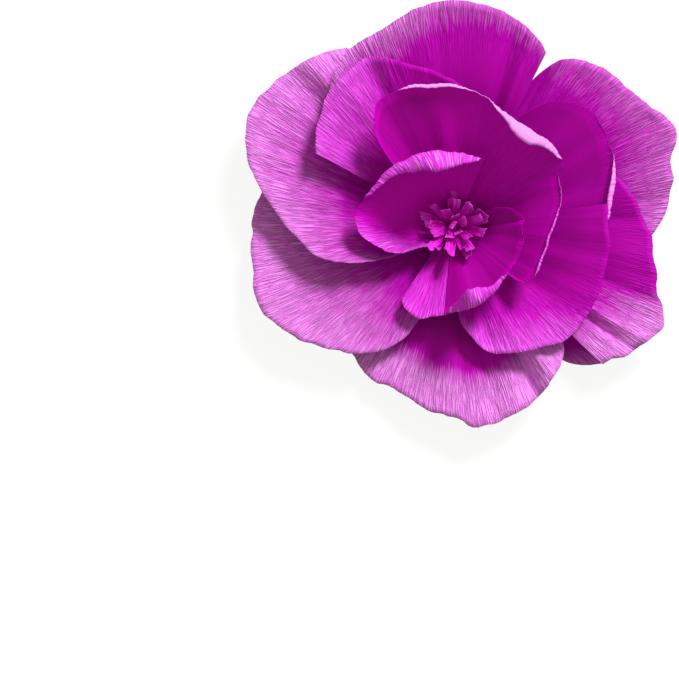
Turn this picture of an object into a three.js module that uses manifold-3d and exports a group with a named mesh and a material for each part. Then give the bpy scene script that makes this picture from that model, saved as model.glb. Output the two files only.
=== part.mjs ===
import * as THREE from 'three';
import Module from 'manifold-3d';
import { mergeVertices } from 'three/addons/utils/BufferGeometryUtils.js';

// A large crepe paper flower: petals glued in three layers around a fringed centre,
// on a round card disc. The disc's back is at z = 0 and the flower faces +Z.

// Overall size, in millimetres
const FLOWER_WIDTH = 400; // across the outer petals
const PETAL_RISE = 78; // from the glued root of a petal up to the flower's highest rim

// Paper and card, in millimetres
const PAPER = 0.6; // one petal, with the relief of its crepe
const SEAT_GAP = 0.3; // clearance between a piece and what it is glued to
const DISC_RADIUS = 50;
const DISC_THICKNESS = 2;

// Circles on which the three layers are glued down
const OUTER_ROOT_RADIUS = 33;
const MIDDLE_ROOT_RADIUS = 19;
const INNER_ROOT_RADIUS = 12;
const ROOT_TAB = 3; // flat glued end of a petal, inside its root circle

// Scale of the petal drawings below, which show the flower 400 wide with a rise of 78
const DRAWN_WIDTH = 400;
const DRAWN_RISE = 78;
const PLAN_UNIT = FLOWER_WIDTH / DRAWN_WIDTH;
const RISE_UNIT = PETAL_RISE / DRAWN_RISE;

// Shaping of the petals
const BULGE_SHAPE = 6.75; // makes t (1 - t) squared peak at 1
const CURL_TURN = THREE.MathUtils.degToRad(110); // where a rolled rim ends, from flat outwards
const TIGHTEST_CURL = 2.5; // smallest radius of a rolled rim
const PLAIN_TURN = 0.25; // how far a plain rim turns up, in radians
const PLAIN_WIDTH = 1; // widest rolled edge that still ends as a plain rim
const ROLLED_WIDTH = 3; // narrowest one that is rolled right over

// Fringed centre: a cut strip rolled up, its fringe spread in rings
const FRINGE_CORE_RADIUS = 6;
const FRINGE_CORE_HEIGHT = 15;
const FRINGE_ROOT_HEIGHT = 6; // where the strips leave the core, above its foot
const INNER_STRIP_RADIUS = 2.4;
const MIDDLE_STRIP_RADIUS = 3.9;
const OUTER_STRIP_RADIUS = 5.2;
const INNER_STRIP_LENGTH = 34;
const MIDDLE_STRIP_LENGTH = 40;
const OUTER_STRIP_LENGTH = 44;
const STRIP_WIDTH = 9.5;
const STRIP_ROOT_WIDTH = 3.5;
const STRIP_THICKNESS = 1;
const LEAN_SPREAD = 8; // how far single strips stray from their ring's lean, in degrees
const BEARING_SPREAD = 10; // and from their even places round it
const TWIST_SPREAD = 24; // how far the tip of a strip is turned about its length, at most
const LENGTH_SPREAD = 3;

// Fineness of the mesh
const RIM_STEPS = 18;
const RADIAL_STEPS = 5;
const CURL_STEPS = 3;
const STRIP_STEPS = 4;
const DISC_SIDES = 48;

const LAYERS = {
  outer: { rootRadius: OUTER_ROOT_RADIUS, colour: 0xd266c8 },
  middle: { rootRadius: MIDDLE_ROOT_RADIUS, colour: 0xb81aa6 },
  inner: { rootRadius: INNER_ROOT_RADIUS, colour: 0xa0108c },
};

// Each petal: where its gathered root lies on its circle (from and to, in degrees), its place
// in the glued stack (order, 0 next to the disc), how far its lower part bulges up, and its rim,
// as x, y, height above the root and width of the rolled edge where it has one.
// A fold runs along the grain: share of the way round the rim, half width, and how deep it is
// in the middle of the petal and at the rim; a ridge has a negative depth.
const PETALS = {
  outer_petal_lower_right_back: {
    layer: LAYERS.outer, order: 0, from: -66, to: -20, bulge: 2,
    rim: [
      [93, -114, 7], [102, -125, 7], [122, -129, 9], [138, -127, 10], [154, -115, 11],
      [167, -97, 11], [172, -80, 10],
    ],
  },
  outer_petal_bottom: {
    layer: LAYERS.outer, order: 1, from: -132, to: -48, bulge: 6,
    rim: [
      [-102, -101, 6], [-95, -120, 8], [-76, -143, 14], [-57, -151, 19], [-20, -174, 25],
      [1, -178, 28], [19, -187, 29], [43, -181, 29], [69, -167, 30], [85, -151, 30],
      [98, -132, 29], [102, -119, 28], [100, -101, 26],
    ],
    folds: [
      [0.45, 0.05, -3, -1], [0.62, 0.04, 3, 1], [0.77, 0.03, 8, 6], [0.85, 0.035, -7, -5],
    ],
  },
  outer_petal_lower_left: {
    layer: LAYERS.outer, order: 2, from: -190, to: -110, bulge: 4.7,
    rim: [
      [-172, 45, 12], [-185, 20, 14], [-190, -14, 19], [-187, -43, 24], [-188, -53, 25],
      [-179, -80, 28], [-149, -103, 30], [-126, -112, 31], [-91, -119, 30], [-68, -116, 29],
      [-47, -104, 28], [-34, -87, 27], [-24, -68, 24],
    ],
    folds: [[0.3, 0.06, 3, 1], [0.62, 0.05, -3, 0], [0.8, 0.03, 3, 0]],
  },
  outer_petal_left: {
    layer: LAYERS.outer, order: 3, from: 116, to: 214, bulge: 4.7,
    rim: [
      [-80, 150, 17], [-99, 166, 19], [-118, 163, 21], [-147, 150, 26], [-176, 126, 31],
      [-193, 104, 34], [-195, 84, 36], [-192, 58, 37], [-178, 29, 39], [-158, 1, 41],
      [-138, -21, 42], [-126, -30, 42], [-107, -34, 42], [-86, -34, 40], [-62, -29, 36],
      [-42, -23, 30],
    ],
    folds: [[0.16, 0.035, -9, -7], [0.235, 0.035, 5, 4], [0.62, 0.05, 2, 0]],
  },
  outer_petal_right: {
    layer: LAYERS.outer, order: 0, from: -6, to: 66, bulge: 5.3,
    rim: [
      [178, -18, 20], [191, 2, 25], [198, 18, 29], [203, 46, 34], [201, 62, 37], [206, 87, 39],
      [193, 103, 39], [172, 118, 39], [140, 146, 36], [127, 152, 34], [112, 156, 32],
      [96, 154, 30], [74, 138, 24], [62, 122, 21],
    ],
    folds: [[0.05, 0.03, -4, -4], [0.3, 0.06, 3, 1], [0.77, 0.035, -6, -4], [0.86, 0.04, 5, 2]],
  },
  outer_petal_top: {
    layer: LAYERS.outer, order: 4, from: 56, to: 140, bulge: 7,
    rim: [
      [84, 160, 46], [79, 171, 48], [59, 189, 52], [40, 200, 54], [24, 205, 55], [-2, 208, 54],
      [-28, 204, 51], [-50, 194, 47], [-68, 182, 43], [-97, 166, 38], [-107, 151, 37],
      [-119, 121, 35], [-120, 98, 34],
    ],
    folds: [[0.07, 0.03, -6, -3], [0.14, 0.03, 6, 3], [0.5, 0.06, -3, -1], [0.75, 0.05, 3, 1]],
  },
  outer_petal_lower_right: {
    layer: LAYERS.outer, order: 1, from: -40, to: 22, bulge: 7.1,
    rim: [
      [137, -128, 22], [148, -124, 25], [164, -118, 28], [191, -97, 30], [195, -87, 31],
      [193, -74, 32], [188, -61, 33], [189, -48, 34], [184, -24, 36], [182, -8, 36],
      [166, 26, 37], [150, 46, 36], [138, 52, 35],
    ],
    folds: [
      [0, 0.05, -6, -5], [0.14, 0.025, 5, 4], [0.2, 0.03, -3, -2], [0.4, 0.05, 3, 1],
      [0.75, 0.05, 3, 1],
    ],
  },
  middle_petal_upper_left: {
    layer: LAYERS.middle, order: 1, from: 62, to: 156, bulge: 8,
    rim: [
      [40, 98, 46], [14, 124, 50], [-5, 137, 52], [-41, 150, 52], [-62, 155, 51], [-78, 156, 50],
      [-91, 151, 49], [-115, 126, 50], [-128, 94, 51], [-130, 78, 51], [-129, 67, 50],
    ],
    folds: [[0.3, 0.06, 3, 0], [0.57, 0.045, 5, 4], [0.7, 0.04, -3, -2], [0.86, 0.05, 4, 1]],
  },
  middle_petal_right: {
    layer: LAYERS.middle, order: 0, from: -8, to: 60, bulge: 7,
    rim: [
      [139, -12, 46], [145, 20, 49, 4.5], [148, 39, 51, 5], [148, 52, 52, 3], [142, 76, 54, 1.5],
      [131, 101, 54, 1.5], [121, 109, 53], [106, 114, 52], [93, 115, 50], [80, 112, 48],
      [60, 102, 45],
    ],
    folds: [[0.3, 0.06, 3, 0], [0.62, 0.06, -3, 0]],
  },
  middle_petal_lower_right: {
    layer: LAYERS.middle, order: 1, from: -92, to: 12, bulge: 7,
    rim: [
      [6, -79, 36], [4, -86, 37], [20, -109, 38], [30, -116, 39], [51, -118, 40], [87, -111, 40],
      [101, -107, 40], [122, -84, 42], [135, -59, 47], [142, -27, 54], [143, -14, 57],
      [141, 2, 59], [140, 20, 60],
    ],
    folds: [[0.2, 0.03, 4, 2], [0.3, 0.04, -4, -2], [0.55, 0.06, 4, 1], [0.75, 0.05, -3, 0]],
  },
  inner_petal_right: {
    layer: LAYERS.inner, order: 0, from: -48, to: 42, bulge: 2.4,
    rim: [
      [50, -46, 46], [62, -53, 53], [70, -50, 57, 1.5], [77, -43, 59, 2.5], [82, -27, 61, 2.5],
      [93, 5, 63, 2.5], [97, 23, 62, 2], [96, 39, 60, 2], [93, 49, 57, 1.5], [80, 58, 52],
    ],
  },
  inner_petal_top: {
    layer: LAYERS.inner, order: 1, from: 30, to: 142, bulge: 6,
    rim: [
      [100, 52, 73], [96, 62, 75, 1.5], [87, 74, 76, 5], [74, 84, 77, 13], [59, 94, 78, 11],
      [43, 105, 78, 4], [27, 117, 78, 2], [-5, 129, 78, 3], [-21, 130, 77, 3.5],
      [-47, 126, 76, 2.5], [-71, 115, 73], [-76, 92, 70], [-71, 76, 67], [-57, 55, 61],
    ],
    folds: [[0.07, 0.04, 6, 0], [0.22, 0.06, 4, 0], [0.45, 0.04, 3, 0], [0.55, 0.04, -3, 0]],
  },
  inner_petal_bottom: {
    layer: LAYERS.inner, order: 0, from: -142, to: -80, bulge: 4.7,
    rim: [
      [-47, -64, 34], [-49, -71, 35], [-41, -83, 38], [-34, -86, 40], [-25, -85, 42],
      [-8, -83, 46], [3, -76, 46],
    ],
  },
  inner_petal_lower_right: {
    layer: LAYERS.inner, order: 1, from: -100, to: 24, bulge: 5.3,
    rim: [
      [-10, -82, 48], [4, -80, 57, 12], [14, -77, 61, 18], [22, -74, 61, 16], [33, -66, 61, 9],
      [49, -44, 62, 1.5], [60, -24, 62, 1.5], [62, -14, 62, 1.5], [60, 0, 61, 1.5], [63, 6, 60],
      [51, 16, 55], [38, 17, 46],
    ],
  },
  inner_petal_left: {
    layer: LAYERS.inner, order: 2, from: 66, to: 222, bulge: 6,
    rim: [
      [26, 60, 66], [11, 65, 68, 9], [-5, 67, 69, 15], [-21, 68, 69, 20], [-34, 66, 68, 19],
      [-47, 60, 67, 15], [-61, 52, 64, 10], [-81, 30, 58, 3], [-91, 15, 53], [-94, 5, 51],
      [-87, -8, 49], [-73, -19, 48], [-62, -25, 45], [-49, -25, 41], [-36, -21, 34],
      [-24, -19, 25],
    ],
  },
};

// Rings of the fringe, from the inside out: how many strips, where they leave the core,
// their length, their lean from upright at the root and at the tip, and the first one's bearing
const FRINGE_RINGS = [
  {
    strips: 5, radius: INNER_STRIP_RADIUS, length: INNER_STRIP_LENGTH,
    lean: 6, tipLean: 14, bearing: 20,
  },
  {
    strips: 9, radius: MIDDLE_STRIP_RADIUS, length: MIDDLE_STRIP_LENGTH,
    lean: 16, tipLean: 44, bearing: 48,
  },
  {
    strips: 14, radius: OUTER_STRIP_RADIUS, length: OUTER_STRIP_LENGTH,
    lean: 24, tipLean: 53, bearing: 5,
  },
];

const degrees = THREE.MathUtils.degToRad;
const smoothstep = THREE.MathUtils.smoothstep;
const STACK_STEP = PAPER + SEAT_GAP; // from one glued petal to the next above it

// Height at which a petal of the given place in the stack is glued, at mid paper
function rootHeight(order) {
  return DISC_THICKNESS + SEAT_GAP + PAPER / 2 + order * STACK_STEP;
}

// A smooth curve through points of any size, at steps + 1 even places by plan distance
function smoothRun(points, steps) {
  const place = [0];
  for (let i = 1; i < points.length; i++) {
    const stride = Math.hypot(points[i][0] - points[i - 1][0], points[i][1] - points[i - 1][1]);
    place.push(place[i - 1] + stride);
  }
  const last = points.length - 1;
  const slope = points.map((point, i) => {
    const before = Math.max(i - 1, 0);
    const after = Math.min(i + 1, last);
    return point.map((_, k) => (points[after][k] - points[before][k]) / (place[after] - place[before]));
  });
  const run = [];
  for (let n = 0; n <= steps; n++) {
    const at = (place[last] * n) / steps;
    let i = 0;
    while (i < last - 1 && place[i + 1] <= at) i++;
    const width = place[i + 1] - place[i];
    const t = (at - place[i]) / width;
    const startPull = (t ** 3 - 2 * t ** 2 + t) * width;
    const endPull = (t ** 3 - t ** 2) * width;
    const ease = 3 * t ** 2 - 2 * t ** 3;
    run.push(points[i].map((value, k) => (
      value * (1 - ease) + points[i + 1][k] * ease + startPull * slope[i][k] + endPull * slope[i + 1][k]
    )));
  }
  return run;
}

// The rolled edge at one place of a rim: its radius, the turn at which it ends, how far out the
// flat part of the petal runs before it, and the flat part's rise. All of it stays inside reach.
function rolledEdge(reach, height, width) {
  const rolled = Math.max(width, 0);
  const radius = Math.max(rolled / (1 - Math.cos(CURL_TURN)), TIGHTEST_CURL);
  const rolledOver = smoothstep(rolled, PLAIN_WIDTH, ROLLED_WIDTH);
  const fullEnd = Math.acos(1 - rolled / radius);
  let flat = reach;
  let rise = Math.atan2(height, flat);
  let end = 0;
  for (let pass = 0; pass < 4; pass++) {
    const plainEnd = rise - Math.PI / 2 + PLAIN_TURN;
    end = plainEnd + (fullEnd - plainEnd) * rolledOver;
    flat = reach + radius * (Math.sin(rise) - Math.cos(Math.min(end, 0)));
    rise = Math.atan2(height, flat);
  }
  return { radius, end, flat, rise };
}

// The middle of a petal's paper: one line of points for each step along the rim, each line
// running along the grain from the glued tab out to the rim and round its rolled edge
function petalLines(petal) {
  const curled = petal.rim.some((point) => point.length > 3);
  const drawn = petal.rim.map(([x, y, height, roll = 0]) => (
    [x * PLAN_UNIT, y * PLAN_UNIT, height * RISE_UNIT, roll * PLAN_UNIT]
  ));
  const rootZ = rootHeight(petal.order);
  const rootRadius = petal.layer.rootRadius - petal.order * STACK_STEP;
  const bulge = BULGE_SHAPE * petal.bulge * RISE_UNIT;
  return smoothRun(drawn, RIM_STEPS).map(([rimX, rimY, height, width], n) => {
    const share = n / RIM_STEPS;
    const bearing = degrees(petal.from + (petal.to - petal.from) * share);
    const rootX = rootRadius * Math.cos(bearing);
    const rootY = rootRadius * Math.sin(bearing);
    const reach = Math.hypot(rimX - rootX, rimY - rootY);
    const alongX = (rimX - rootX) / reach;
    const alongY = (rimY - rootY) / reach;
    const plain = { radius: 0, end: 0, flat: reach, rise: Math.atan2(height, reach) };
    const edge = curled ? rolledEdge(reach, height, width) : plain;
    let crease = 0;
    let rimCrease = 0;
    for (const [place, half, depth, rimDepth] of petal.folds ?? []) {
      const profile = RISE_UNIT * Math.exp(-(((share - place) / half) ** 2));
      crease -= depth * profile;
      rimCrease -= rimDepth * profile;
    }
    const line = [new THREE.Vector3(
      (rootRadius - ROOT_TAB) * Math.cos(bearing),
      (rootRadius - ROOT_TAB) * Math.sin(bearing),
      rootZ,
    )];
    const add = (out, up) => line.push(new THREE.Vector3(
      rootX + alongX * out,
      rootY + alongY * out,
      rootZ + up,
    ));
    for (let k = 0; k <= RADIAL_STEPS; k++) {
      const t = k / RADIAL_STEPS;
      const lift = height * t + bulge * t * (1 - t) ** 2;
      add(edge.flat * t, lift + crease * t * Math.sin(Math.PI * t) + rimCrease * t ** 2);
    }
    const centreOut = edge.flat - edge.radius * Math.sin(edge.rise);
    const centreUp = height + rimCrease + edge.radius * Math.cos(edge.rise);
    const start = edge.rise - Math.PI / 2;
    for (let k = 1; curled && k <= CURL_STEPS; k++) {
      const turn = start + ((edge.end - start) * k) / CURL_STEPS;
      add(centreOut + edge.radius * Math.cos(turn), centreUp + edge.radius * Math.sin(turn));
    }
    return line;
  });
}

// A closed sheet of the given thickness about a grid of points
function sheetGeometry(lines, thickness) {
  const rows = lines.length;
  const columns = lines[0].length;
  const at = (i, j) => lines[Math.min(Math.max(i, 0), rows - 1)][Math.min(Math.max(j, 0), columns - 1)];
  const positions = [];
  for (const side of [1, -1]) {
    for (let i = 0; i < rows; i++) {
      for (let j = 0; j < columns; j++) {
        const across = at(i + 1, j).clone().sub(at(i - 1, j));
        const along = at(i, j + 1).clone().sub(at(i, j - 1));
        const normal = along.cross(across).normalize().multiplyScalar((side * thickness) / 2);
        positions.push(...at(i, j).clone().add(normal).toArray());
      }
    }
  }
  const corner = (side, i, j) => side * rows * columns + i * columns + j;
  const faces = [];
  const quad = (a, b, c, d) => faces.push(a, b, c, a, c, d);
  for (let i = 0; i < rows - 1; i++) {
    for (let j = 0; j < columns - 1; j++) {
      quad(corner(0, i, j), corner(0, i, j + 1), corner(0, i + 1, j + 1), corner(0, i + 1, j));
      quad(corner(1, i, j), corner(1, i + 1, j), corner(1, i + 1, j + 1), corner(1, i, j + 1));
    }
  }
  for (let i = 0; i < rows - 1; i++) {
    const end = columns - 1;
    quad(corner(0, i, 0), corner(0, i + 1, 0), corner(1, i + 1, 0), corner(1, i, 0));
    quad(corner(0, i, end), corner(1, i, end), corner(1, i + 1, end), corner(0, i + 1, end));
  }
  for (let j = 0; j < columns - 1; j++) {
    const end = rows - 1;
    quad(corner(0, 0, j), corner(1, 0, j), corner(1, 0, j + 1), corner(0, 0, j + 1));
    quad(corner(0, end, j), corner(0, end, j + 1), corner(1, end, j + 1), corner(1, end, j));
  }
  const geometry = new THREE.BufferGeometry();
  geometry.setAttribute('position', new THREE.Float32BufferAttribute(positions, 3));
  geometry.setIndex(faces);
  return geometry;
}

// A repeatable number between -1 and 1 that jumps about from one index to the next
function uneven(index, phase) {
  return Math.sin(2.4 * index + phase);
}

// One strip of the fringe, leaving the core, bending between its two leans and twisting
function fringeStrip(ring, index) {
  const evenPlace = (360 * index) / ring.strips;
  const bearing = degrees(ring.bearing + evenPlace + BEARING_SPREAD * uneven(index, 1));
  const length = ring.length + LENGTH_SPREAD * uneven(index, 2);
  const tipTwist = degrees(TWIST_SPREAD * uneven(index, 3));
  const leanStart = ring.lean + (LEAN_SPREAD / 2) * uneven(index, 0);
  const leanEnd = ring.tipLean + LEAN_SPREAD * uneven(index, 0);
  const outward = new THREE.Vector3(Math.cos(bearing), Math.sin(bearing), 0);
  const sideways = new THREE.Vector3(-Math.sin(bearing), Math.cos(bearing), 0);
  const point = outward.clone().multiplyScalar(ring.radius);
  point.z = DISC_THICKNESS + SEAT_GAP + FRINGE_ROOT_HEIGHT;
  const step = length / STRIP_STEPS;
  const lines = [[], []];
  for (let k = 0; k <= STRIP_STEPS; k++) {
    const share = k / STRIP_STEPS;
    const width = STRIP_ROOT_WIDTH + (STRIP_WIDTH - STRIP_ROOT_WIDTH) * smoothstep(share, 0, 0.5);
    const twist = tipTwist * share ** 2;
    const edge = sideways.clone().multiplyScalar(Math.cos(twist));
    edge.addScaledVector(outward, Math.sin(twist)).multiplyScalar(width / 2);
    lines[0].push(point.clone().sub(edge));
    lines[1].push(point.clone().add(edge));
    const lean = degrees(leanStart + (leanEnd - leanStart) * share);
    point.addScaledVector(outward, step * Math.sin(lean));
    point.z += step * Math.cos(lean);
  }
  return sheetGeometry(lines, STRIP_THICKNESS);
}

const wasm = await Module();
wasm.setup();

function solidFrom(geometry) {
  const bare = geometry.clone();
  bare.deleteAttribute('normal');
  bare.deleteAttribute('uv');
  const merged = mergeVertices(bare);
  return new wasm.Manifold(new wasm.Mesh({
    numProp: 3,
    vertProperties: new Float32Array(merged.attributes.position.array),
    triVerts: new Uint32Array(merged.index.array),
  }));
}

function geometryFrom(solid) {
  const mesh = solid.getMesh();
  const geometry = new THREE.BufferGeometry();
  geometry.setAttribute('position', new THREE.BufferAttribute(mesh.vertProperties, 3));
  geometry.setIndex(new THREE.BufferAttribute(mesh.triVerts, 1));
  return geometry;
}

function uprightCylinder(radius, height, sides, bottom) {
  const geometry = new THREE.CylinderGeometry(radius, radius, height, sides);
  geometry.rotateX(Math.PI / 2);
  geometry.translate(0, 0, bottom + height / 2);
  return geometry;
}

function fringeGeometry() {
  const coreSides = 24;
  const bottom = DISC_THICKNESS + SEAT_GAP;
  const core = uprightCylinder(FRINGE_CORE_RADIUS, FRINGE_CORE_HEIGHT, coreSides, bottom);
  let solid = solidFrom(core);
  for (const ring of FRINGE_RINGS) {
    for (let index = 0; index < ring.strips; index++) {
      solid = solid.add(solidFrom(fringeStrip(ring, index)));
    }
  }
  return geometryFrom(solid);
}

function addPiece(group, name, geometry, colour, roughness) {
  geometry.computeVertexNormals();
  const material = new THREE.MeshStandardMaterial({ color: colour, roughness, metalness: 0 });
  const mesh = new THREE.Mesh(geometry, material);
  mesh.name = name;
  group.add(mesh);
}

const flower = new THREE.Group();
const disc = uprightCylinder(DISC_RADIUS, DISC_THICKNESS, DISC_SIDES, 0);
addPiece(flower, 'base_disc', disc, 0xb01098, 0.85);
for (const [name, petal] of Object.entries(PETALS)) {
  addPiece(flower, name, sheetGeometry(petalLines(petal), PAPER), petal.layer.colour, 0.65);
}
addPiece(flower, 'fringed_centre', fringeGeometry(), 0x8e0e78, 0.65);

export default flower;
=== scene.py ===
"""A large magenta crepe paper flower lying face up on a pale floor, seen from above."""
import math

import bpy
import numpy as np
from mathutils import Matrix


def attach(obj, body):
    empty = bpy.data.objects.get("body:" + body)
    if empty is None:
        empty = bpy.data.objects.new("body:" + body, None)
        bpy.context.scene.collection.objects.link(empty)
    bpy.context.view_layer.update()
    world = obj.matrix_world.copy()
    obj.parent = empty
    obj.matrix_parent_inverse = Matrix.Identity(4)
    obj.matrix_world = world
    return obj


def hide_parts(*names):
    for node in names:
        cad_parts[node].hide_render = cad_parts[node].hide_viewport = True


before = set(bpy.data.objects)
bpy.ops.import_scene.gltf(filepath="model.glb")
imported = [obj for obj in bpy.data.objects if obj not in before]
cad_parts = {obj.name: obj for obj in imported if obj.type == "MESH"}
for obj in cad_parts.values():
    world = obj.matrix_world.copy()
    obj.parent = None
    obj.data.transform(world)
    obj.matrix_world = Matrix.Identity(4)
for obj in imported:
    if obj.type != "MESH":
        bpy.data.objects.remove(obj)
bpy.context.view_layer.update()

MM = 0.001

# Photograph: its size in pixels, the real size of a pixel, and the pixel over the disc's centre
PHOTO_WIDTH = 679
PHOTO_HEIGHT = 690
MM_PER_PIXEL = 0.93
CENTRE_PIXEL = (455, 226)

# Paper and card, in millimetres, as in the CAD
PAPER = 0.6
SEAT_GAP = 0.3
STACK_STEP = PAPER + SEAT_GAP
DISC_THICKNESS = 2
ROOT_TAB = 3
OUTER_ROOT_RADIUS = 33
MIDDLE_ROOT_RADIUS = 19
INNER_ROOT_RADIUS = 12
BULGE_SHAPE = 6.75  # makes t (1 - t)^2 peak at 1

# Rolled rims, as in the CAD
CURL_TURN = math.radians(110)
TIGHTEST_CURL = 2.5
PLAIN_TURN = 0.25  # how far a plain rim turns up, in radians
PLAIN_WIDTH = 1  # widest rolled edge that still ends as a plain rim
ROLLED_WIDTH = 3  # narrowest one that is rolled right over

# Fine form of the paper, in millimetres
SHEET = 0.34  # paper as it looks at a cut edge
RIDGE_SPACING = 2.4
RIDGE_LENGTH = 18
RIDGE_DEPTH = 1.1
RIDGE_LEVEL = 1.1  # brings the ridges' mean height to about 0
RIDGE_SHARE = 0.62
FINE_RIDGE_SHARE = 0.55
FINE_RIDGE_SIZE = 0.6  # of the spacing and length of the main ridges
RIDGE_START = 25  # how far from the root the ridges reach their depth
RIDGE_FADE = (-0.6, 0.6)  # paleness from which, and to which, the ridges deepen
LEAST_RIDGE = 0.06  # share of the depth that deep-coloured paper keeps
RIDGE_SHEEN_AND_SHADE = 0.14  # paler on a ridge's crest and deeper in its valley: painted highlight and painted shade

# Waves of the rims: pairs of depth and length, in millimetres
CUT_WAVES = [(1.1, 11), (0.35, 4)]
RUFFLE_WAVES = [(1, 24), (0.6, 10)]  # the depth is a share of the layer's ruffle
RAGGED_WAVES = [(1, 7), (0.7, 3)]  # the depth is a share of the raggedness
RAGGEDNESS = 0.08  # how far a rolled edge's end wanders, in radians

CURL_ROWS = 10
CURL_ROUNDS = 4  # rounds that settle where a rolled edge starts
CURL_SHOWS = (-0.2, 0.25)  # radians between which the roll takes its painted highlight


class Layer:
    """One ring of petals: its glued circle, mesh fineness and the depth of its ruffles."""

    def __init__(self, slot, root_radius, columns, rows, ruffle):
        self.slot = slot
        self.root_radius = root_radius
        self.columns = columns
        self.rows = rows
        self.ruffle = ruffle


OUTER = Layer("outer_crepe", OUTER_ROOT_RADIUS, columns=620, rows=26, ruffle=1.5)
MIDDLE = Layer("middle_crepe", MIDDLE_ROOT_RADIUS, columns=440, rows=26, ruffle=1.1)
INNER = Layer("inner_crepe", INNER_ROOT_RADIUS, columns=330, rows=24, ruffle=0.7)
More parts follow.
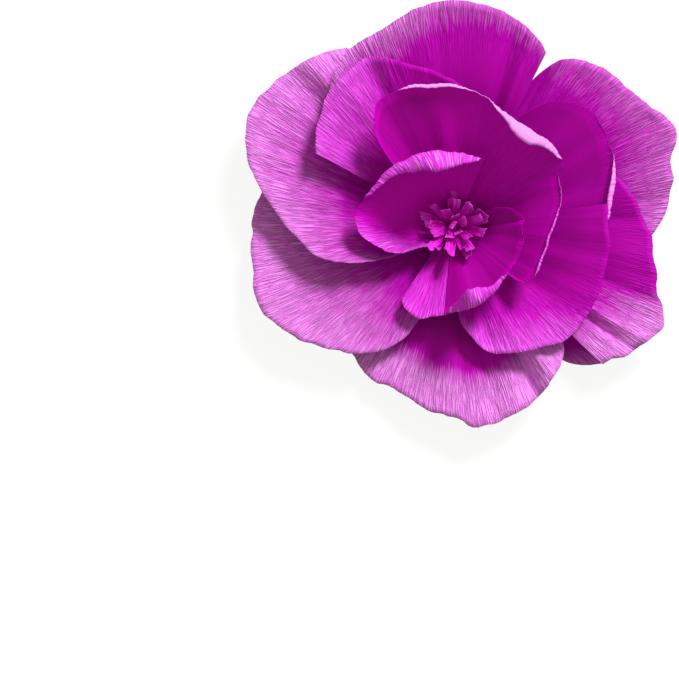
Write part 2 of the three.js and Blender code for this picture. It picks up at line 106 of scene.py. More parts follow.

# Each petal as in the CAD: its glued root from and to a bearing in degrees, its place in the
# stack, how far its lower part bulges up, and its rim as x, y, height and rolled edge in
# millimetres. A fold runs along the grain: share of the way round the rim, half width, and how
# deep it is in the middle of the petal and at the rim; a ridge has a negative depth.
# The rest are looks. Paleness runs from -1, deep in colour, to 1, pale. It is partly the paper's
# own colour, deep at the root and pale where stretched, and partly painted light: paler where the
# light falls, deeper where shade falls. The rim's paleness, from stretch and painted light, is listed
# at shares of the way round; over 1, the pale part reaches further in. The wash is the share of the
# petal's length, from the rim in, over which the paleness falls by 1. The depth is the least
# paleness, where that isn't -1: above -1 it lifts shaded paper with painted light, and below -1 it
# paints shade into the cup. A rolled edge's painted highlight is how far past 1 its paleness goes,
# and the relief is the share of the ridges' depth that the petal has.
PETALS = {
    "outer_petal_lower_right_back": dict(
        layer=OUTER, order=0, start=-66, end=-20, bulge=2, wash=0.3,
        stretch_and_painted_light=[(0, 0.7)],
        rim=[
            (93, -114, 7), (102, -125, 7), (122, -129, 9), (138, -127, 10),
            (154, -115, 11), (167, -97, 11), (172, -80, 10),
        ],
        folds=[],
    ),
    # Its deep part ends sharply along the edge of the shadow that falls on it: painted shade there
    "outer_petal_bottom": dict(
        layer=OUTER, order=1, start=-132, end=-48, bulge=6, wash=0.16,
        stretch_and_painted_light=[(0, 2.2), (0.4, 2.2), (0.7, 2.2), (0.8, 2.6), (1, 2.6)],
        rim=[
            (-102, -101, 6), (-95, -120, 8), (-76, -143, 14), (-57, -151, 19), (-20, -174, 25),
            (1, -178, 28), (19, -187, 29), (43, -181, 29), (69, -167, 30), (85, -151, 30),
            (98, -132, 29), (102, -119, 28), (100, -101, 26),
        ],
        folds=[(0.45, 0.05, -3, -1), (0.62, 0.04, 3, 1), (0.77, 0.03, 8, 6), (0.85, 0.035, -7, -5)],
    ),
    # Pale over much of its length, which faces the light: partly painted light
    "outer_petal_lower_left": dict(
        layer=OUTER, order=2, start=-190, end=-110, bulge=4.7, wash=0.7,
        stretch_and_painted_light=[(0, 1.2), (0.6, 1.15), (0.8, 0.8), (1, 0.7)],
        rim=[
            (-172, 45, 12), (-185, 20, 14), (-190, -14, 19), (-187, -43, 24), (-188, -53, 25),
            (-179, -80, 28), (-149, -103, 30), (-126, -112, 31), (-91, -119, 30), (-68, -116, 29),
            (-47, -104, 28), (-34, -87, 27), (-24, -68, 24),
        ],
        folds=[(0.3, 0.06, 3, 1), (0.62, 0.05, -3, 0), (0.8, 0.03, 3, 0)],
    ),
    # Pale over much of its length, which faces the light: partly painted light
    "outer_petal_left": dict(
        layer=OUTER, order=3, start=116, end=214, bulge=4.7, wash=0.66,
        stretch_and_painted_light=[(0, 1), (0.65, 1), (0.8, 0.75), (1, 0.7)],
        rim=[
            (-80, 150, 17), (-99, 166, 19), (-118, 163, 21), (-147, 150, 26), (-176, 126, 31),
            (-193, 104, 34), (-195, 84, 36), (-192, 58, 37), (-178, 29, 39), (-158, 1, 41),
            (-138, -21, 42), (-126, -30, 42), (-107, -34, 42), (-86, -34, 40), (-62, -29, 36),
            (-42, -23, 30),
        ],
        folds=[(0.16, 0.035, -9, -7), (0.235, 0.035, 5, 4), (0.41, 0.012, 3, 0), (0.62, 0.05, 2, 0)],
    ),
    # Kept less pale, and so darker, as it faces away from the light: painted shade
    "outer_petal_right": dict(
        layer=OUTER, order=0, start=-6, end=66, bulge=5.3, wash=0.6, relief=0.5,
        stretch_and_painted_light=[(0, 0.8), (0.4, 0.7), (0.7, 0.5), (0.8, 0.5), (0.9, 0.1), (1, 0.2)],
        rim=[
            (178, -18, 20), (191, 2, 25), (198, 18, 29), (203, 46, 34), (201, 62, 37), (206, 87, 39),
            (193, 103, 39), (172, 118, 39), (140, 146, 36), (127, 152, 34), (112, 156, 32),
            (96, 154, 30), (74, 138, 24), (62, 122, 21),
        ],
        folds=[(0.05, 0.03, -4, -4), (0.3, 0.06, 3, 1), (0.77, 0.035, -6, -4), (0.86, 0.04, 5, 2)],
    ),
    "outer_petal_top": dict(
        layer=OUTER, order=4, start=56, end=140, bulge=7, wash=0.28,
        stretch_and_painted_light=[(0, 0.5), (0.3, 0.6), (0.6, 0.9), (1, 0.8)],
        rim=[
            (84, 160, 46), (79, 171, 48), (59, 189, 52), (40, 200, 54), (24, 205, 55), (-2, 208, 54),
            (-28, 204, 51), (-50, 194, 47), (-68, 182, 43), (-97, 166, 38), (-107, 151, 37),
            (-119, 121, 35), (-120, 98, 34),
        ],
        folds=[(0.07, 0.03, -6, -3), (0.14, 0.03, 6, 3), (0.5, 0.06, -3, -1), (0.75, 0.05, 3, 1)],
    ),
    # Pale at its lower pleats, which face the light, and deep above, which faces away: painted light
    # and shade
    "outer_petal_lower_right": dict(
        layer=OUTER, order=1, start=-40, end=22, bulge=7.1, wash=0.4, relief=0.7,
        stretch_and_painted_light=[(0, 1.2), (0.33, 1.1), (0.45, 0.1), (0.8, -0.1), (1, -0.3)],
        rim=[
            (137, -128, 22), (148, -124, 25), (164, -118, 28), (191, -97, 30), (195, -87, 31),
            (193, -74, 32), (188, -61, 33), (189, -48, 34), (184, -24, 36), (182, -8, 36),
            (166, 26, 37), (150, 46, 36), (138, 52, 35),
        ],
        folds=[
            (0, 0.05, -6, -5), (0.14, 0.025, 5, 4), (0.2, 0.03, -3, -2), (0.4, 0.05, 3, 1),
            (0.75, 0.05, 3, 1),
        ],
    ),
    # Pale on its left, which faces the light, and deep on its top, which faces away: painted light and
    # shade
    "middle_petal_upper_left": dict(
        layer=MIDDLE, order=1, start=62, end=156, bulge=8, wash=0.6,
        stretch_and_painted_light=[(0, -0.4), (0.38, -0.2), (0.62, 0.9), (1, 1)],
        rim=[
            (40, 98, 46), (14, 124, 50), (-5, 137, 52), (-41, 150, 52), (-62, 155, 51), (-78, 156, 50),
            (-91, 151, 49), (-115, 126, 50), (-128, 94, 51), (-130, 78, 51), (-129, 67, 50),
        ],
        folds=[(0.3, 0.06, 3, 0), (0.57, 0.045, 5, 4), (0.7, 0.04, -3, -2), (0.86, 0.05, 4, 1)],
    ),
    "middle_petal_right": dict(
        layer=MIDDLE, order=0, start=-8, end=60, bulge=7, wash=0.06, roll_highlight=0.6,
        stretch_and_painted_light=[(0, 0.8), (0.4, 0.3), (0.55, 0), (1, -0.3)],
        rim=[
            (139, -12, 46), (145, 20, 49, 4.5), (148, 39, 51, 5), (148, 52, 52, 3),
            (142, 76, 54, 1.5), (131, 101, 54, 1.5), (121, 109, 53), (106, 114, 52),
            (93, 115, 50), (80, 112, 48), (60, 102, 45),
        ],
        folds=[(0.3, 0.06, 3, 0), (0.62, 0.06, -3, 0)],
    ),
    # Pale along its lower rim, which faces the light, and deep on its right: painted light and shade
    "middle_petal_lower_right": dict(
        layer=MIDDLE, order=1, start=-92, end=12, bulge=7, wash=0.35,
        stretch_and_painted_light=[(0, 0.6), (0.2, 1.1), (0.5, 1), (0.62, 0.2), (0.8, -0.3), (1, -0.4)],
        rim=[
            (6, -79, 36), (4, -86, 37), (20, -109, 38), (30, -116, 39), (51, -118, 40), (87, -111, 40),
            (101, -107, 40), (122, -84, 42), (135, -59, 47), (142, -27, 54), (143, -14, 57),
            (141, 2, 59), (140, 20, 60),
        ],
        folds=[(0.2, 0.03, 4, 2), (0.3, 0.04, -4, -2), (0.55, 0.06, 4, 1), (0.75, 0.05, -3, 0)],
    ),
    "inner_petal_right": dict(
        layer=INNER, order=0, start=-48, end=42, bulge=2.4, wash=0.06, roll_highlight=0.4,
        stretch_and_painted_light=[(0, 0.1)],
        rim=[
            (50, -46, 46), (62, -53, 53), (70, -50, 57, 1.5), (77, -43, 59, 2.5),
            (82, -27, 61, 2.5), (93, 5, 63, 2.5), (97, 23, 62, 2), (96, 39, 60, 2),
            (93, 49, 57, 1.5), (80, 58, 52),
        ],
        folds=[],
    ),
    # Its shaded right part is lifted with painted light, and its left part painted darker: painted
    # shade
    "inner_petal_top": dict(
        layer=INNER, order=1, start=30, end=142, bulge=6, wash=0.06, roll_highlight=0.9,
        stretch_and_painted_light=[(0, 0)],
        depth=[(0, -0.1), (0.4, -0.3), (0.6, -1), (0.75, -1.35)],
        rim=[
            (100, 52, 73), (96, 62, 75, 2.5), (87, 74, 76, 7), (74, 84, 77, 13), (59, 94, 78, 11),
            (43, 105, 78, 4), (27, 117, 78, 2), (-5, 129, 78, 3), (-21, 130, 77, 3.5),
            (-47, 126, 76, 2.5), (-71, 115, 73), (-76, 92, 70), (-71, 76, 67), (-57, 55, 61),
        ],
        folds=[(0.07, 0.04, 6, 0), (0.22, 0.06, 4, 0), (0.45, 0.04, 3, 0), (0.55, 0.04, -3, 0)],
    ),
    "inner_petal_bottom": dict(
        layer=INNER, order=0, start=-142, end=-80, bulge=4.7, wash=0.8,
        rim=[
            (-47, -64, 34), (-49, -71, 35), (-41, -83, 38), (-34, -86, 40), (-25, -85, 42),
            (-8, -83, 46), (3, -76, 46),
        ],
        folds=[],
    ),
    # Its cup is painted darker than the deep colour: painted shade
    "inner_petal_lower_right": dict(
        layer=INNER, order=1, start=-100, end=24, bulge=5.3, wash=0.06, roll_highlight=0,
        stretch_and_painted_light=[(0, 0.1)],
        depth=[(0, -1), (0.3, -1.3), (1, -1.3)],
        rim=[
            (-10, -82, 48), (4, -80, 57, 12), (14, -77, 61, 18), (22, -74, 61, 16),
            (33, -66, 61, 9), (49, -44, 62, 1.5), (60, -24, 62, 1.5), (62, -14, 62, 1.5),
            (60, 0, 61, 1.5), (63, 6, 60), (51, 16, 55), (38, 17, 46),
        ],
        folds=[(0, 0.06, 3.2, 1.8)],
    ),
    # Its deep paper is lifted with painted light, and its lower lobe, which faces the light, made pale
    "inner_petal_left": dict(
        layer=INNER, order=2, start=66, end=222, bulge=6, wash=0.3, roll_highlight=0.15,
        stretch_and_painted_light=[(0, 0.2), (0.6, 0.1), (0.72, 1.3), (0.85, 1.7), (1, 1.7)], depth=[(0, -0.5)],
        rim=[
            (26, 60, 66), (11, 65, 68, 9), (-5, 67, 69, 15), (-21, 68, 69, 20), (-34, 66, 68, 19),
            (-47, 60, 67, 15), (-61, 52, 64, 10), (-81, 30, 58, 3), (-91, 15, 53),
            (-94, 5, 51), (-87, -8, 49), (-73, -19, 48), (-62, -25, 45),
            (-49, -25, 41), (-36, -21, 34), (-24, -19, 25),
        ],
        folds=[],
    ),
}


def smooth_run(points, samples):
    """A smooth curve through the points, at even places by plan distance."""
    points = np.array(points, float)
    strides = np.hypot(*np.diff(points[:, :2], axis=0).T)
    place = np.concatenate(([0], np.cumsum(strides)))
    last = len(points) - 1
    before = np.maximum(np.arange(last + 1) - 1, 0)
    after = np.minimum(np.arange(last + 1) + 1, last)
    slope = (points[after] - points[before]) / (place[after] - place[before])[:, None]
    at = np.linspace(0, place[-1], samples)
    i = np.clip(np.searchsorted(place, at, side="right") - 1, 0, last - 1)
    width = place[i + 1] - place[i]
    t = ((at - place[i]) / width)[:, None]
    width = width[:, None]
    start_pull = (t**3 - 2 * t**2 + t) * width
    end_pull = (t**3 - t**2) * width
    ease = 3 * t**2 - 2 * t**3
    run = points[i] * (1 - ease) + points[i + 1] * ease
    return run + start_pull * slope[i] + end_pull * slope[i + 1], place[-1]


def smooth_step(low, high, value):
    """0 below low, 1 above high, and a smooth rise between them."""
    t = np.clip((value - low) / (high - low), 0, 1)
    return t * t * (3 - 2 * t)


def cell_noise(across, along, random):
    """Smooth noise between -1 and 1 with cells one unit wide, over arrays of places."""
    across = across - across.min()
    along = along - along.min()
    table = random.uniform(-1, 1, (int(across.max()) + 2, int(along.max()) + 2))
    i = across.astype(int)
    j = along.astype(int)
    x = across - i
    y = along - j
    x = x * x * (3 - 2 * x)
    y = y * y * (3 - 2 * y)
    low = table[i, j] * (1 - x) + table[i + 1, j] * x
    high = table[i, j + 1] * (1 - x) + table[i + 1, j + 1] * x
    return low * (1 - y) + high * y


def waves(place, sizes, random):
    """Sum of smooth waves along a line, one for each pair of depth and length."""
    level = np.zeros_like(place)
    return sum(depth * cell_noise(place / length, level, random) for depth, length in sizes)


def crepe_relief(across, along, random):
    """Height of crepe's broken ridges, which run along the grain, between about -1 and 1."""
    broad = cell_noise(across / RIDGE_SPACING, along / RIDGE_LENGTH, random)
    fine_spacing = FINE_RIDGE_SIZE * RIDGE_SPACING
    fine_length = FINE_RIDGE_SIZE * RIDGE_LENGTH
    fine = cell_noise(across / fine_spacing, along / fine_length, random)
    ridges = 2 * np.sqrt(np.abs(broad)) - RIDGE_LEVEL
    return RIDGE_SHARE * ridges + FINE_RIDGE_SHARE * fine


def roll_rim(reach, height, rolled, across_rim, random):
    """Where a petal's rolled edge starts, the rise to there, its radius and the turn it ends at."""
    rolled = np.maximum(rolled, 0)
    radius = np.maximum(rolled / (1 - math.cos(CURL_TURN)), TIGHTEST_CURL)
    rolled_over = smooth_step(PLAIN_WIDTH, ROLLED_WIDTH, rolled)
    rise = np.arctan2(height, reach)
    for _ in range(CURL_ROUNDS):
        plain_end = rise - math.pi / 2 + PLAIN_TURN
        end = plain_end + (np.arccos(1 - rolled / radius) - plain_end) * rolled_over
        flat = reach + radius * (np.sin(rise) - np.cos(np.minimum(end, 0)))
        rise = np.arctan2(height, flat)
    end = end + RAGGEDNESS * rolled_over * waves(across_rim, RAGGED_WAVES, random)
    return flat, rise, radius, end


def fold_lift(folds, share):
    """How far the folds lift a petal, at shares of the way round: in its middle and at its rim."""
    middle = np.zeros_like(share)
    rim = np.zeros_like(share)
    for place, half, depth, rim_depth in folds:
        profile = np.exp(-(((share - place) / half) ** 2))
        middle -= depth * profile
        rim -= rim_depth * profile
    return middle, rim


def paleness(petal, share, along, turns):
    """How pale each point of a petal is; the turns are those of its rolled edge's rows."""
    rows = petal["layer"].rows
    tip = np.minimum(along / along[:, rows][:, None], 1)
    # The rim's paleness stands partly for stretched paper and partly for painted light and shade
    stretch_and_painted_light = np.interp(share, *zip(*petal.get("stretch_and_painted_light", [(0, 1)])))
    # A least paleness above -1 lifts shaded paper with painted light; below -1 it paints shade
    depth = np.interp(share, *zip(*petal.get("depth", [(0, -1)])))
    pale = np.clip(stretch_and_painted_light[:, None] - (1 - tip) / petal["wash"], depth[:, None], 1)
    # A rolled edge, as it turns over, takes its painted highlight
    for row, turn in enumerate(turns, rows + 1):
        over = smooth_step(*CURL_SHOWS, turn)
        pale[:, row] = pale[:, rows] * (1 - over) + (1 + petal["roll_highlight"]) * over
    return pale


def petal_grid(petal, random):
    """Middle of a petal's paper, and how far across, how far along and how pale each point is."""
    layer = petal["layer"]
    curled = any(len(point) > 3 for point in petal["rim"])
    drawn = [tuple(point) + (0,) * (4 - len(point)) for point in petal["rim"]]
    run, rim_length = smooth_run(drawn, layer.columns)
    share = np.linspace(0, 1, layer.columns)
    across_rim = share * rim_length
    rim_x, rim_y, height, rolled = run.T
    root_z = DISC_THICKNESS + SEAT_GAP + PAPER / 2 + petal["order"] * STACK_STEP
    root_radius = layer.root_radius - petal["order"] * STACK_STEP
    bearing = np.radians(petal["start"] + (petal["end"] - petal["start"]) * share)
    root_x = root_radius * np.cos(bearing)
    root_y = root_radius * np.sin(bearing)
    reach = np.hypot(rim_x - root_x, rim_y - root_y)
    along_x = (rim_x - root_x) / reach
    along_y = (rim_y - root_y) / reach
    flat = reach + waves(across_rim, CUT_WAVES, random)
    if curled:
        flat, rise, curl_radius, curl_end = roll_rim(flat, height, rolled, across_rim, random)
    crease, rim_crease = fold_lift(petal["folds"], share)
    ruffle = layer.ruffle * waves(across_rim, RUFFLE_WAVES, random)
    bulge = BULGE_SHAPE * petal["bulge"]
    outs = [np.full_like(share, -ROOT_TAB)]
    ups = [np.zeros_like(share)]
    for t in np.linspace(0, 1, layer.rows):
        lift = height * t + bulge * t * (1 - t) ** 2 + crease * t * math.sin(math.pi * t)
        outs.append(flat * t)
        ups.append(lift + rim_crease * t**2 + ruffle * t**3)
    turns = []
    if curled:
        centre_out = flat - curl_radius * np.sin(rise)
        centre_up = height + rim_crease + ruffle + curl_radius * np.cos(rise)
        first_turn = rise - math.pi / 2
        turns = [first_turn + (curl_end - first_turn) * k / CURL_ROWS for k in range(1, CURL_ROWS + 1)]
    for turn in turns:
        outs.append(centre_out + curl_radius * np.cos(turn))
        ups.append(centre_up + curl_radius * np.sin(turn))
    out = np.array(outs).T
    up = np.array(ups).T
    grid = np.empty(out.shape + (3,))
    grid[..., 0] = root_x[:, None] + along_x[:, None] * out
    grid[..., 1] = root_y[:, None] + along_y[:, None] * out
    grid[..., 2] = root_z + up
    steps = np.linalg.norm(np.diff(grid, axis=1), axis=2)
    along = np.concatenate((np.zeros((layer.columns, 1)), np.cumsum(steps, axis=1)), axis=1)
    across = np.repeat(across_rim[:, None], along.shape[1], axis=1)
    return grid, across, along, paleness(petal, share, along, turns)


def grid_normals(grid):
    """Unit normals of a grid of points, on the side that faces up."""
    across = np.gradient(grid, axis=0)
    along = np.gradient(grid, axis=1)
    normals = np.cross(along, across)
    return normals / np.maximum(np.linalg.norm(normals, axis=2, keepdims=True), 1e-9)


def sheet_mesh(name, grid, thickness, grain):
    """A closed sheet about a grid in millimetres, with a grain vector kept at each vertex."""
    rows, columns = grid.shape[:2]
    normals = grid_normals(grid) * thickness / 2
    points = np.concatenate(((grid + normals).reshape(-1, 3), (grid - normals).reshape(-1, 3)))
    index = np.arange(rows * columns).reshape(rows, columns)
    front = np.stack((index[:-1, :-1], index[:-1, 1:], index[1:, 1:], index[1:, :-1]), axis=-1)
    back = front[..., ::-1] + rows * columns
    rim = np.concatenate((index[:-1, 0], index[-1, :-1], index[:0:-1, -1], index[0, :0:-1]))
    following = np.roll(rim, -1)
    edge = np.stack((rim, following, following + rows * columns, rim + rows * columns), axis=-1)
    faces = np.concatenate((front.reshape(-1, 4), back.reshape(-1, 4), edge))
    mesh = bpy.data.meshes.new(name)
    mesh.vertices.add(len(points))
    mesh.vertices.foreach_set("co", (points * MM).astype(np.float32).ravel())
    mesh.loops.add(faces.size)
    mesh.loops.foreach_set("vertex_index", faces.astype(np.int32).ravel())
    mesh.polygons.add(len(faces))
    mesh.polygons.foreach_set("loop_start", np.arange(0, faces.size, 4, dtype=np.int32))
    mesh.polygons.foreach_set("use_smooth", np.ones(len(faces), dtype=bool))
    attribute = mesh.attributes.new("grain", "FLOAT_VECTOR", "POINT")
    doubled = np.concatenate((grain.reshape(-1, 3), grain.reshape(-1, 3)))
    attribute.data.foreach_set("vector", doubled.astype(np.float32).ravel())
    mesh.update(calc_edges=True)
    mesh.validate()
    return mesh


def add_piece(name, mesh, material, node):
    """Puts a mesh in the scene in place of a CAD node, with that node's material slot."""
    piece = bpy.data.objects.new(name, mesh)
    bpy.context.scene.collection.objects.link(piece)
    mesh.materials.append(material)
    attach(piece, "root")
    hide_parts(node)
    return piece


def new_material(name):
    """A new material and its node tree."""
    material = bpy.data.materials.new(name)
    material.use_nodes = True
    return material, material.node_tree


def math_node(tree, operation, first, second):
    """Output of a maths node on two values, each a number or another node's output."""
    node = tree.nodes.new("ShaderNodeMath")
    node.operation = operation
    for socket, value in zip(node.inputs, (first, second)):
        if isinstance(value, (int, float)):
            socket.default_value = value
        else:
            tree.links.new(value, socket)
    return node.outputs[0]


def rise_from(tree, value, start, rate, least, most):
    """A value's rise past a start at a rate, held between a least and a most."""
    risen = math_node(tree, "MULTIPLY", math_node(tree, "SUBTRACT", value, start), rate)
    return math_node(tree, "MINIMUM", math_node(tree, "MAXIMUM", risen, least), most)


def about_middle(tree, value, middle, strength):
    """A value's distance from a middle, times a strength."""
    return math_node(tree, "MULTIPLY", math_node(tree, "SUBTRACT", value, middle), strength)


def noise_node(tree, place, scale, detail, distortion):
    """Noise between 0 and 1 at the place that another node gives."""
    noise = tree.nodes.new("ShaderNodeTexNoise")
    noise.inputs["Scale"].default_value = scale
    noise.inputs["Detail"].default_value = detail
    noise.inputs["Distortion"].default_value = distortion
    tree.links.new(place, noise.inputs["Vector"])
    return noise.outputs["Fac"]


def colour_node(tree, value, stops):
    """Colour for a value, by stops that each have a value and a colour."""
    ramp = tree.nodes.new("ShaderNodeValToRGB")
    for element, (place, colour) in zip(ramp.color_ramp.elements, (stops[0], stops[-1])):
        element.position = place
        element.color = (*colour, 1)
    for place, colour in stops[1:-1]:
        ramp.color_ramp.elements.new(place).color = (*colour, 1)
    tree.links.new(value, ramp.inputs[0])
    return ramp.outputs["Color"]


def bump_shader(tree, shader, height, strength, distance):
    """Gives a shader the bumps of a height, which are a distance in metres at 1."""
    bump = tree.nodes.new("ShaderNodeBump")
    bump.inputs["Strength"].default_value = strength
    bump.inputs["Distance"].default_value = distance
    tree.links.new(height, bump.inputs["Height"])
    tree.links.new(bump.outputs["Normal"], shader.inputs["Normal"])


# Surface of the crepe. Its marks have a size across and along the grain, in millimetres.
RIDGE_MARKS = (2.2, 26)
PATCH_MARKS = (28, 40)
FIBRE_MARKS = (0.4, 1.6)
MARK_WANDER = 0.1
RIDGE_SPREAD = 4  # spreads the noise, whose middle is a valley, so that ridges reach full height
VALLEY_SHARPNESS = 0.6
RIDGES_SHOW = dict(start=-0.7, rate=0.7, least=0.03, most=1)  # by paleness
ROLL_HIGHLIGHT_SMOOTH = dict(start=1.05, rate=2.5, least=0, most=0.75)  # by paleness; smooths the ridges under a rolled edge's painted highlight
# Painted shade in the ridges' valleys and painted highlight on their crests, as paleness
RIDGE_SHADE_MIDDLE = 0.6
RIDGE_SHADE_STRENGTH = 0.6
PATCH_STRENGTH = 0.15
FIBRE_STRENGTH = 0.3
CREPE_BUMP = 1.2
CREPE_ROUGHNESS = 0.55
CREPE_SHINE = 0.08
PAINTED_SHADE_SHARE = 0.7  # painted shade: share of the deep colour, where the paleness is below -1
COLOUR_START = -1.5  # paleness of the darkest colour, the painted shade
COLOUR_RATE = 0.33  # brings the paleness to the stops' scale
COLOUR_STOPS = (0, 0.17, 0.5, 0.83, 0.93)  # painted shade, deep, rich, rim and a rolled edge's painted highlight

# Colours of each kind of crepe: deep at the root, rich along the petal, pale at a stretched rim.
# The same colours paint light: pale where it falls on the paper, deep where shade falls.
CREPE_COLOURS = {
    "outer_crepe": ((0.47, 0.0, 0.39), (0.60, 0.002, 0.55), (0.87, 0.27, 0.90)),
    "middle_crepe": ((0.52, 0.0, 0.43), (0.62, 0.001, 0.57), (0.86, 0.11, 0.90)),
    "inner_crepe": ((0.60, 0.0, 0.49), (0.66, 0.001, 0.59), (0.86, 0.06, 0.88)),
    "fringe_crepe": ((0.66, 0.0, 0.51), (0.76, 0.002, 0.63), (0.90, 0.05, 0.82)),
}
# Painted highlight of a rolled edge that catches the light
ROLL_HIGHLIGHT_COLOUR = (0.98, 0.33, 1.0)


def crepe_material(name, deep, rich, rim):
    """Crepe paper: its colour goes by the paleness in the mesh's grain, its ridges run along it."""
    material, tree = new_material(name)
    paper = tree.nodes["Principled BSDF"]
    grain = tree.nodes.new("ShaderNodeAttribute")
    grain.attribute_type = "GEOMETRY"
    grain.attribute_name = "grain"
    parts = tree.nodes.new("ShaderNodeSeparateXYZ")
    tree.links.new(grain.outputs["Vector"], parts.inputs[0])
    pale = parts.outputs["Z"]

    def marks(size, detail):
        place = tree.nodes.new("ShaderNodeMapping")
        place.inputs["Scale"].default_value = (1 / size[0], 1 / size[1], 0)
        tree.links.new(grain.outputs["Vector"], place.inputs["Vector"])
        return noise_node(tree, place.outputs["Vector"], 1, detail, MARK_WANDER)

    # Ridges part at sharp valleys, and show where the paper isn't deep in colour or under a painted
    # highlight
    swing = about_middle(tree, marks(RIDGE_MARKS, 1), 0.5, RIDGE_SPREAD)
    ridges = math_node(tree, "POWER", math_node(tree, "ABSOLUTE", swing, 0), VALLEY_SHARPNESS)
    shown = rise_from(tree, pale, **RIDGES_SHOW)
    smooth = rise_from(tree, pale, **ROLL_HIGHLIGHT_SMOOTH)
    shown = math_node(tree, "MULTIPLY", shown, math_node(tree, "SUBTRACT", 1, smooth))
    ridges = math_node(tree, "MULTIPLY", math_node(tree, "MINIMUM", ridges, 1), shown)
    # Valleys painted deeper and crests paler: painted shade and highlight
    ridge_shading = about_middle(tree, ridges, RIDGE_SHADE_MIDDLE, RIDGE_SHADE_STRENGTH)
    patches = about_middle(tree, marks(PATCH_MARKS, 2), 0.5, PATCH_STRENGTH)
    pale = math_node(tree, "ADD", pale, math_node(tree, "ADD", ridge_shading, patches))
    # The darkest stop is painted shade
    painted_shade = tuple(PAINTED_SHADE_SHARE * part for part in deep)
    stops = list(zip(COLOUR_STOPS, (painted_shade, deep, rich, rim, ROLL_HIGHLIGHT_COLOUR)))
    colour = colour_node(tree, about_middle(tree, pale, COLOUR_START, COLOUR_RATE), stops)
    tree.links.new(colour, paper.inputs["Base Color"])
    paper.inputs["Roughness"].default_value = CREPE_ROUGHNESS
    paper.inputs["Specular IOR Level"].default_value = CREPE_SHINE

    fibres = math_node(tree, "MULTIPLY", marks(FIBRE_MARKS, 1), FIBRE_STRENGTH)
    height = math_node(tree, "ADD", ridges, math_node(tree, "MULTIPLY", fibres, shown))
    bump_shader(tree, paper, height, 1, CREPE_BUMP * MM)
    return material


CREPE = {name: crepe_material(name, *colours) for name, colours in CREPE_COLOURS.items()}


def build_petal(name, petal, seed):
    """Builds one petal, ridged where its paper is pale, its crests painted paler and valleys deeper.
    """
    random = np.random.default_rng(seed)
    grid, across, along, pale = petal_grid(petal, random)
    fade = np.clip(along / RIDGE_START, 0, 1)
    fade = fade * (LEAST_RIDGE + (1 - LEAST_RIDGE) * smooth_step(*RIDGE_FADE, pale))
    relief = petal.get("relief", 1) * crepe_relief(across, along, random) * fade
    grid = grid + grid_normals(grid) * (relief * RIDGE_DEPTH / 2)[..., None]
    # Ridge crests are painted paler and valleys deeper: painted highlight and shade
    grain = np.stack((across, along, pale + RIDGE_SHEEN_AND_SHADE * relief), axis=-1)
    mesh = sheet_mesh("crepe_" + name, grid, SHEET, grain)
    add_piece("crepe_" + name, mesh, CREPE[petal["layer"].slot], name)


FIRST_PETAL_SEED = 100
for number, (petal_name, petal_shape) in enumerate(PETALS.items()):
    build_petal(petal_name, petal_shape, FIRST_PETAL_SEED + number)


# Fringed centre: strips cut in a roll of crepe, in three rings about its core. Each ring has its
# number of strips, where they leave the core, their length, their lean from upright in degrees
# at the root and at the tip, and the first strip's bearing.
FRINGE_RINGS = [
    dict(strips=5, radius=2.4, length=34, lean=6, tip_lean=14, bearing=20),
    dict(strips=9, radius=3.9, length=40, lean=16, tip_lean=44, bearing=48),
    dict(strips=14, radius=5.2, length=44, lean=24, tip_lean=53, bearing=5),
]
FRINGE_ROOT_HEIGHT = 6
STRIP_WIDTH = 9.5
STRIP_ROOT_WIDTH = 3.5
STRIP_WIDENS_TO = 0.5  # share of its length at which a strip is at full width
STRIP_COLUMNS = 15
STRIP_ROWS = 34

# How far one strip may differ from the next, in degrees and, for its length, in millimetres
LEAN_SPREAD = 8
BEARING_SPREAD = 10
TWIST_SPREAD = 24
LENGTH_SPREAD = 3

# The end of a strip curls from a share of its length on, and is cut at a slant
TIP_START = 0.7
TIP_CURLS = (-16, -9, 3, 10)  # radians, times the square of the share past the start
MOST_SLANT = 0.4
NARROWEST = 0.65  # of a strip's full width
CUP = 0.35  # how strongly a strip bends back towards its edges
CRUMPLE_DEPTH = 1.1
CRUMPLE_CELLS = (5, 4)  # mesh columns and rows between crumples
STRIP_RELIEF = 0.3
STRIP_RIDGES = 1.3  # how much closer the ridges lie than on a petal
STRIP_STEP = 20  # moves the marks on, so that no two strips of a ring have the same
FRINGE_SEED = 7
UNEVEN_STEP = 2.4  # radians between one strip's unevenness and the next's


def uneven(index, phase):
    """A repeatable number between -1 and 1 that jumps about from one index to the next."""
    return math.sin(UNEVEN_STEP * index + phase)


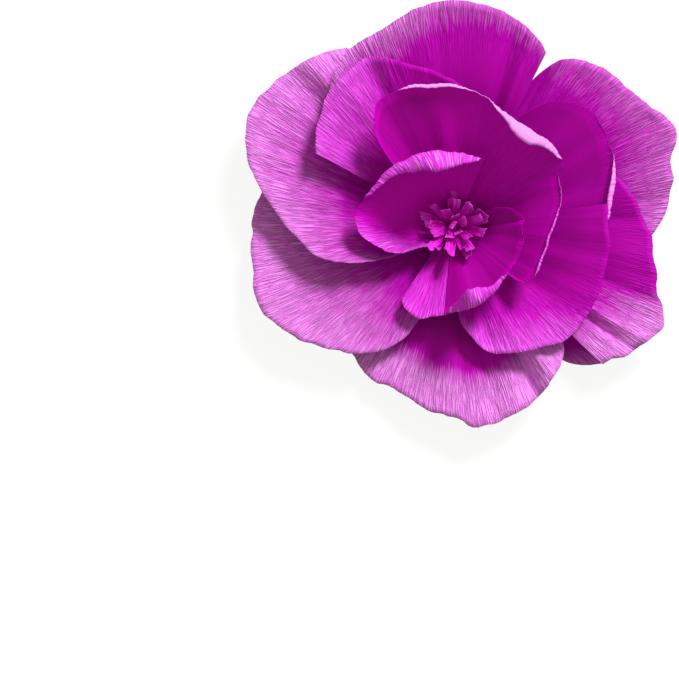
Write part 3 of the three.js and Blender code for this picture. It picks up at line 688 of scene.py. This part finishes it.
def fringe_strip(ring, index, random):
    """One strip's middle grid: it leaves the core, bends and twists, and its tip curls."""
    spread = BEARING_SPREAD * uneven(index, 1)
    bearing = math.radians(ring["bearing"] + 360 * index / ring["strips"] + spread)
    length = ring["length"] + LENGTH_SPREAD * uneven(index, 2)
    lean_start = ring["lean"] + LEAN_SPREAD / 2 * uneven(index, 0)
    lean_end = ring["tip_lean"] + LEAN_SPREAD * uneven(index, 0)
    outward = np.array((math.cos(bearing), math.sin(bearing), 0))
    sideways = np.array((-math.sin(bearing), math.cos(bearing), 0))
    upward = np.array((0, 0, 1))
    point = outward * ring["radius"] + upward * (DISC_THICKNESS + SEAT_GAP + FRINGE_ROOT_HEIGHT)
    step = length / (STRIP_ROWS - 1)
    twist_end = math.radians(TWIST_SPREAD * uneven(index, 3))
    tip_curl = random.choice(TIP_CURLS)
    slant = random.uniform(-MOST_SLANT, MOST_SLANT)
    narrowing = random.uniform(NARROWEST, 1)
    places = np.indices((STRIP_COLUMNS, STRIP_ROWS), float)
    crumple = cell_noise(places[0] / CRUMPLE_CELLS[0], places[1] / CRUMPLE_CELLS[1], random)
    grid = np.empty((STRIP_COLUMNS, STRIP_ROWS, 3))
    for k in range(STRIP_ROWS):
        share = k / (STRIP_ROWS - 1)
        lean = math.radians(lean_start + (lean_end - lean_start) * share)
        lean += tip_curl * max(0, share - TIP_START) ** 2
        twist = twist_end * share**2
        across = sideways * math.cos(twist) + outward * math.sin(twist)
        widened = float(smooth_step(0, STRIP_WIDENS_TO, share))
        width = STRIP_ROOT_WIDTH + (STRIP_WIDTH - STRIP_ROOT_WIDTH) * widened
        ahead = outward * math.sin(lean) + upward * math.cos(lean)
        for c in range(STRIP_COLUMNS):
            side = (c / (STRIP_COLUMNS - 1) - 0.5) * width * narrowing
            back = CUP * side**2 / STRIP_WIDTH + CRUMPLE_DEPTH * share * crumple[c, k]
            grid[c, k] = point + across * side - outward * back + ahead * slant * side * share**3
        point = point + ahead * step
    return grid


def build_fringe():
    """Builds the strips of all rings and joins them as one piece."""
    random = np.random.default_rng(FRINGE_SEED)
    meshes = []
    for ring in FRINGE_RINGS:
        for index in range(ring["strips"]):
            grid = fringe_strip(ring, index, random)
            columns, rows = grid.shape[:2]
            side = np.repeat(np.linspace(0, STRIP_WIDTH, columns)[:, None], rows, axis=1)
            along = np.repeat(np.linspace(0, ring["length"], rows)[None, :], columns, axis=0)
            relief = crepe_relief(side * STRIP_RIDGES, along, random)
            grid = grid + grid_normals(grid) * (relief * STRIP_RELIEF)[..., None]
            pale = 2 * along / ring["length"] - 1
            grain = np.stack((side + STRIP_STEP * index, along, pale), axis=-1)
            meshes.append(sheet_mesh("strip", grid, SHEET, grain))
    piece = add_piece("crepe_fringe", meshes[0], CREPE["fringe_crepe"], "fringed_centre")
    others = []
    for mesh in meshes[1:]:
        strip = bpy.data.objects.new("strip", mesh)
        bpy.context.scene.collection.objects.link(strip)
        mesh.materials.append(CREPE["fringe_crepe"])
        others.append(strip)
    with bpy.context.temp_override(active_object=piece, selected_editable_objects=[piece] + others):
        bpy.ops.object.join()


build_fringe()

# Card of the base disc
CARD_DARK = (0.55, 0.005, 0.42)
CARD_PALE = (0.66, 0.03, 0.54)
CARD_FIBRE_SCALE = 420
CARD_FIBRE_DETAIL = 4
CARD_BUMP = 0.2
CARD_BUMP_STRENGTH = 0.3
CARD_ROUGHNESS = 0.85
CARD_SHINE = 0.2


def card_material():
    """Magenta card with short pale and dark fibres."""
    material, tree = new_material("disc_card")
    card = tree.nodes["Principled BSDF"]
    card.inputs["Roughness"].default_value = CARD_ROUGHNESS
    card.inputs["Specular IOR Level"].default_value = CARD_SHINE
    place = tree.nodes.new("ShaderNodeTexCoord").outputs["Object"]
    fibres = noise_node(tree, place, CARD_FIBRE_SCALE, CARD_FIBRE_DETAIL, 0)
    colour = colour_node(tree, fibres, [(0.35, CARD_DARK), (0.65, CARD_PALE)])
    tree.links.new(colour, card.inputs["Base Color"])
    bump_shader(tree, card, fibres, CARD_BUMP_STRENGTH, CARD_BUMP * MM)
    return material


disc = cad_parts["base_disc"]
disc.data.materials.clear()
disc.data.materials.append(card_material())

# Floor: its half width in metres, its own grey, and the glow that makes it look white
FLOOR_HALF = 6
FLOOR_GREY = 0.14
FLOOR_GLOW = 0.89


def floor_material():
    """A matte grey that keeps shadows, and a glow that shows to the camera but lights nothing."""
    material, tree = new_material("floor_white")
    tree.nodes.clear()
    matte = tree.nodes.new("ShaderNodeBsdfDiffuse")
    matte.inputs["Color"].default_value = (FLOOR_GREY, FLOOR_GREY, FLOOR_GREY, 1)
    glow = tree.nodes.new("ShaderNodeEmission")
    rays = tree.nodes.new("ShaderNodeLightPath").outputs
    seen = math_node(tree, "MAXIMUM", rays["Is Camera Ray"], rays["Is Glossy Ray"])
    seen = math_node(tree, "MAXIMUM", seen, rays["Is Transmission Ray"])
    tree.links.new(math_node(tree, "MULTIPLY", seen, FLOOR_GLOW), glow.inputs["Strength"])
    total = tree.nodes.new("ShaderNodeAddShader")
    tree.links.new(matte.outputs[0], total.inputs[0])
    tree.links.new(glow.outputs[0], total.inputs[1])
    output = tree.nodes.new("ShaderNodeOutputMaterial")
    tree.links.new(total.outputs[0], output.inputs["Surface"])
    return material


def build_floor():
    """A pale floor that shows white to the camera and keeps the flower's soft shadow."""
    mesh = bpy.data.meshes.new("floor")
    corners = [
        (-FLOOR_HALF, -FLOOR_HALF, 0), (FLOOR_HALF, -FLOOR_HALF, 0),
        (FLOOR_HALF, FLOOR_HALF, 0), (-FLOOR_HALF, FLOOR_HALF, 0),
    ]
    mesh.from_pydata(corners, [], [(0, 1, 2, 3)])
    floor = bpy.data.objects.new("floor", mesh)
    bpy.context.scene.collection.objects.link(floor)
    mesh.materials.append(floor_material())


build_floor()

# Light: a soft key from the upper right, and an even pale room
KEY_FROM = (0.40, 0.69, 0.60)
KEY_ENERGY = 3.5
KEY_WIDTH = math.radians(16)
ROOM_COLOUR = (1, 0.96, 0.83, 1)
ROOM_STRENGTH = 0.42
key = bpy.data.objects.new("key", bpy.data.lights.new("key", "SUN"))
key.data.energy = KEY_ENERGY
key.data.angle = KEY_WIDTH
toward = np.array(KEY_FROM) / np.linalg.norm(KEY_FROM)
key.rotation_euler = (math.acos(toward[2]), 0, math.atan2(toward[1], toward[0]) + math.pi / 2)
bpy.context.scene.collection.objects.link(key)

world = bpy.data.worlds.new("room")
bpy.context.scene.world = world
world.use_nodes = True
world.node_tree.nodes["Background"].inputs["Color"].default_value = ROOM_COLOUR
world.node_tree.nodes["Background"].inputs["Strength"].default_value = ROOM_STRENGTH

# Camera: straight down from over the middle of the photograph's frame, in metres
CAMERA_DISTANCE = 4.0
SHARP_HEIGHT = 0.04  # height above the floor at which the photograph's scale holds
SENSOR_WIDTH = 36
FARTHEST_SEEN = 50
camera = bpy.data.objects.new("camera", bpy.data.cameras.new("camera"))
camera.location = (
    (PHOTO_WIDTH / 2 - CENTRE_PIXEL[0]) * MM_PER_PIXEL * MM,
    (CENTRE_PIXEL[1] - PHOTO_HEIGHT / 2) * MM_PER_PIXEL * MM,
    SHARP_HEIGHT + CAMERA_DISTANCE,
)
camera.data.sensor_width = SENSOR_WIDTH
camera.data.lens = SENSOR_WIDTH * CAMERA_DISTANCE / (PHOTO_HEIGHT * MM_PER_PIXEL * MM)
camera.data.clip_end = FARTHEST_SEEN
bpy.context.scene.collection.objects.link(camera)
bpy.context.scene.camera = camera
bpy.context.scene.view_settings.view_transform = "Standard"
